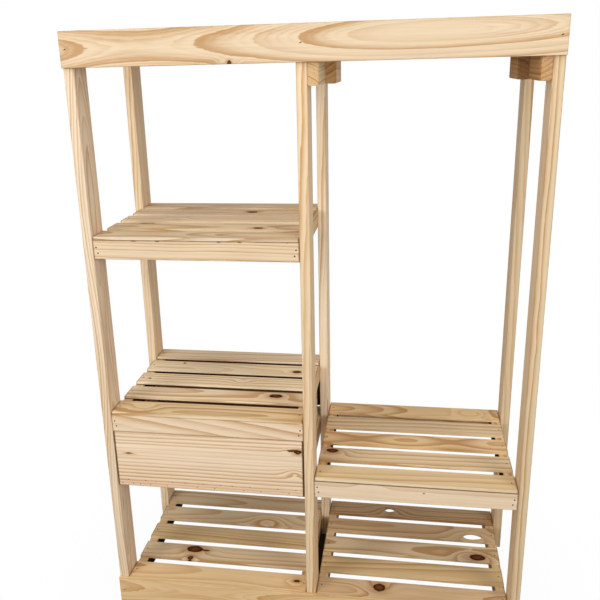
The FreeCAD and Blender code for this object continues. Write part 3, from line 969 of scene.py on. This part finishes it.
# %% Where the nails go
ahead, behind, above = Vector((0, -1, 0)), Vector((0, 1, 0)), Vector((0, 0, 1))
to_left, to_right = Vector((-1, 0, 0)), Vector((1, 0, 0))
round_head, bent_head = (1.0, 1.0, 0.0), (1.5, 0.6, math.radians(25))
rail_nail_drop, slat_nail_inset, timber_nail_inset, block_nail_inset = 0.044, 0.012, 0.016, 0.030
apron_insets_and_drops = ((0.008, 0.021), (0.012, 0.037))
post_depth = 0.078
places = []


def add_nail(x, y, z, aim, shape=round_head):
    places.append((Vector((x, y, z)), aim, shape))


def timber_nails(low, high):
    """Nails through a pair of timbers into the posts beside them."""
    frame_front, frame_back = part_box("left_front_post")[0].y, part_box("left_rear_post")[1].y
    for post_front in (frame_front, frame_back - post_depth):
        for share, z in ((0.25, high.z - timber_nail_inset), (0.75, low.z + timber_nail_inset)):
            y = post_front + share * post_depth
            add_nail(low.x + cross_width, y, z, to_right)
            add_nail(high.x - cross_width, y, z, to_left)


for node in ("top_front_rail", "bottom_front_rail"):
    low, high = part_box(node)
    for x in (low.x + post_width / 2, 0.0, high.x - post_width / 2):
        add_nail(x, low.y, high.z - rail_nail_drop, ahead, bent_head)
for low, high in [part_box(node) for node in slat_nodes] + deck_boxes:
    for x in (low.x + slat_nail_inset, high.x - slat_nail_inset):
        add_nail(x, (low.y + high.y) / 2, high.z, above)
for node in (n for n in slot_of if n.endswith("_apron")):
    low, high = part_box(node)
    y, aim = (low.y, ahead) if "front" in node else (high.y, behind)
    for inset, drop in apron_insets_and_drops:
        for x in (low.x + inset, high.x - inset):
            add_nail(x, y, high.z - drop, aim)
for node in (n for n in slot_of if n.endswith(("_shelf_cleats", "_runners"))):
    timber_nails(*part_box(node))
timber_nails(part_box("left_rod_stretcher")[0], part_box("right_rod_stretcher")[1])
timber_nails(*left_bay)
timber_nails(*right_bay)
for node, aim in (("left_rod_block", to_right), ("right_rod_block", to_left)):
    low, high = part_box(node)
    x = high.x if aim.x > 0 else low.x
    for y in (low.y + block_nail_inset, high.y - block_nail_inset):
        add_nail(x, y, (low.z + high.z) / 2, aim)
frame_heads = nail_heads("frame_nail_heads", places, radius=0.0027, height=0.0010, finish=dark_steel)
hand_over(frame_heads, "frame_nails")
print(len(places), "nails in the frame")

# %% [markdown]
# Two rows of small rusty pins hold the foot of the drawer's front to a batten behind it.
# Their places, as shares of the front's width, follow the photograph. Four more pins hold the drawer's back.

# %% Drawer nails
low_row = (0.022, 0.082, 0.121, 0.178, 0.268, 0.433, 0.528, 0.684, 0.775, 0.923)
high_row = (0.055, 0.151, 0.208, 0.300, 0.369, 0.467, 0.561, 0.623, 0.717, 0.864, 0.959)
rows_and_rises = ((low_row, 0.008), (high_row, 0.020))
side_nail_inset, half_back = 0.020, 0.0045
low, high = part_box("drawer_front")
small = [(Vector((low.x + share * (high.x - low.x), low.y, low.z + rise)), ahead, round_head)
         for row, rise in rows_and_rises for share in row]
low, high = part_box("drawer_left_side")
right_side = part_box("drawer_right_side")[1].x
for z in (low.z + side_nail_inset, high.z - side_nail_inset):
    for x, aim in ((low.x, to_left), (right_side, to_right)):
        small.append((Vector((x, high.y - half_back, z)), aim, round_head))
drawer_heads = nail_heads("drawer_nail_heads", small, radius=0.0018, height=0.0008, finish=rusty_steel)
hand_over(drawer_heads, "drawer_nails")
print(len(small), "nails in the drawer")

# %% [markdown]
# A plain studio: a pale floor under an even sky. Both look white to the camera, like a cut-out background,
# but they light the wood only at a plain level. The white is a touch duller near the wardrobe.
# Between the middle posts the floor is painted dark, because the photograph keeps its shade there.

# %% Floor and sky
floor_reach = 6.0
# Painted shade: the floor between the middle posts gets a dark brown paint.
floor_paint, painted_floor_shade = (0.35, 0.35, 0.35, 1), (0.06, 0.045, 0.035, 1)
dark_side, dark_end = (0.030, 0.040), (0.20, 0.26)
near, far, dull_white = 0.60, 1.05, 0.975
sky_light = 0.39


def seen_directly(w):
    """One where a ray comes from the camera, a mirror or a window, and nothing elsewhere."""
    path = w.node("ShaderNodeLightPath").outputs
    mirror_or_window = w.math("MAXIMUM", path["Is Glossy Ray"], path["Is Transmission Ray"])
    return w.math("MAXIMUM", path["Is Camera Ray"], mirror_or_window)


def white_floor():
    material, w = empty_material("pale_floor")
    place = w.node("ShaderNodeTexCoord").outputs["Object"]
    from_middle = w.vector("LENGTH", place)
    beside = w.smooth(w.math("ABSOLUTE", w.parts(place)[0]), *dark_side)
    open_floor = w.math("MAXIMUM", beside, w.smooth(from_middle, *dark_end))
    white = w.times(w.smooth(from_middle, near, far, 1.0, dull_white), open_floor)
    share = w.times(seen_directly(w), white)
    matt = w.node("ShaderNodeBsdfDiffuse", {"Color": w.mix(open_floor, painted_floor_shade, floor_paint)})
    glow = w.node("ShaderNodeEmission", {"Color": (1, 1, 1, 1), "Strength": 1.0})
    set_surface(w, w.node("ShaderNodeMixShader", {0: share, 1: matt, 2: glow}))
    return material


corners = [(x * floor_reach, y * floor_reach, 0) for x, y in ((-1, -1), (1, -1), (1, 1), (-1, 1))]
floor_mesh = bpy.data.meshes.new("floor")
floor_mesh.from_pydata(corners, [], [(0, 1, 2, 3)])
floor_mesh.materials.append(white_floor())
floor = placed("floor", floor_mesh)

world = bpy.data.worlds.new("studio")
scene.world = world
world.use_nodes = True
world.node_tree.nodes.clear()
w = Wiring(world.node_tree)
strength = w.times_plus(seen_directly(w), 1.0 - sky_light, sky_light)
sky = w.node("ShaderNodeBackground", {"Color": (1, 1, 1, 1), "Strength": strength})
w.put(w.node("ShaderNodeOutputWorld").inputs[0], sky)
print("floor", 2 * floor_reach, "m wide; sky at", sky_light)

# %% [markdown]
# Three soft round lamps: one in front at the left, a weaker one in front at the right, and one high above.
# Big lamps make soft shadows, so the gaps between the slats stay clear.

# %% Lamps


def soft_lamp(name, place, target, size, power):
    lamp = bpy.data.lights.new(name, "AREA")
    lamp.shape = "DISK"
    lamp.size = size
    lamp.energy = power
    aim = (Vector(place) - Vector(target)).to_track_quat("Z", "Y").to_matrix().to_4x4()
    placed(name, lamp).matrix_world = Matrix.Translation(place) @ aim
    print(name, "with", power, "W")


soft_lamp("front_left_lamp", (-2.2, -2.6, 2.0), (0, 0, 0.8), size=1.6, power=50.0)
soft_lamp("front_right_lamp", (2.4, -2.6, 2.0), (0, 0, 0.8), size=1.6, power=42.0)
soft_lamp("high_lamp", (0.0, -1.5, 3.3), (0, 0, 0.6), size=1.8, power=21.0)
